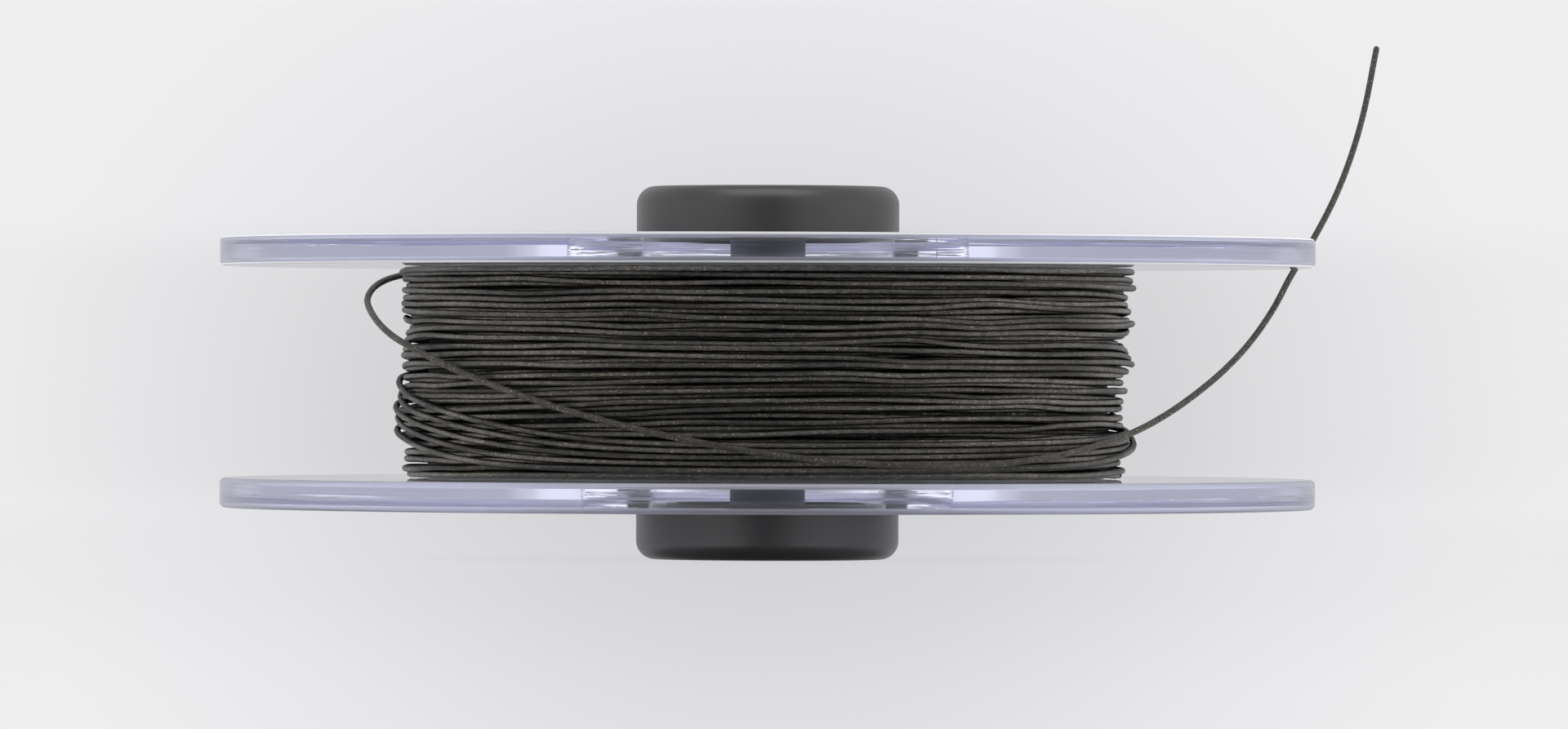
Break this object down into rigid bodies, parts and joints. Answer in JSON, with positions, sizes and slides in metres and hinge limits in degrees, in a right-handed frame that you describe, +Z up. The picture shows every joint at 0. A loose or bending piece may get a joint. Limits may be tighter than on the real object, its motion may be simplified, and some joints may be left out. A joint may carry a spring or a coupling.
{
  "type": "string reel",
  "caption": "Reel of racket string: wound string between clear round flanges, turning on a black hub with a spindle hole, with a loose free end.",
  "frame": {"origin": "middle of the lower cap's foot, on the surface that the reel stands on", "axes": "+Z up along the reel's axis, -Y towards the front, +X to the right"},
  "size_m": [0.1275, 0.118, 0.0569],
  "materials": {
    "cap": "satin moulded",
    "sleeve": "moulded",
    "flange": "clear, polished",
    "drum": "moulded",
    "string": "braided nylon"
  },
  "bodies": {
    "hub": {"lower_cap": "cap", "upper_cap": "cap", "hub_sleeve": "sleeve"},
    "spool": {"lower_flange": "flange", "upper_flange": "flange", "drum": "drum", "string_inner_layers": "string", "string_outer_turns": "string", "loose_string": "string"}
  },
  "joints": [
    {"name": "spool_spin", "type": "hinge", "parent": "hub", "child": "spool", "pos_m": [0, 0, 0.0201], "axis": [0, 0, 1], "continuous": true}
  ]
}
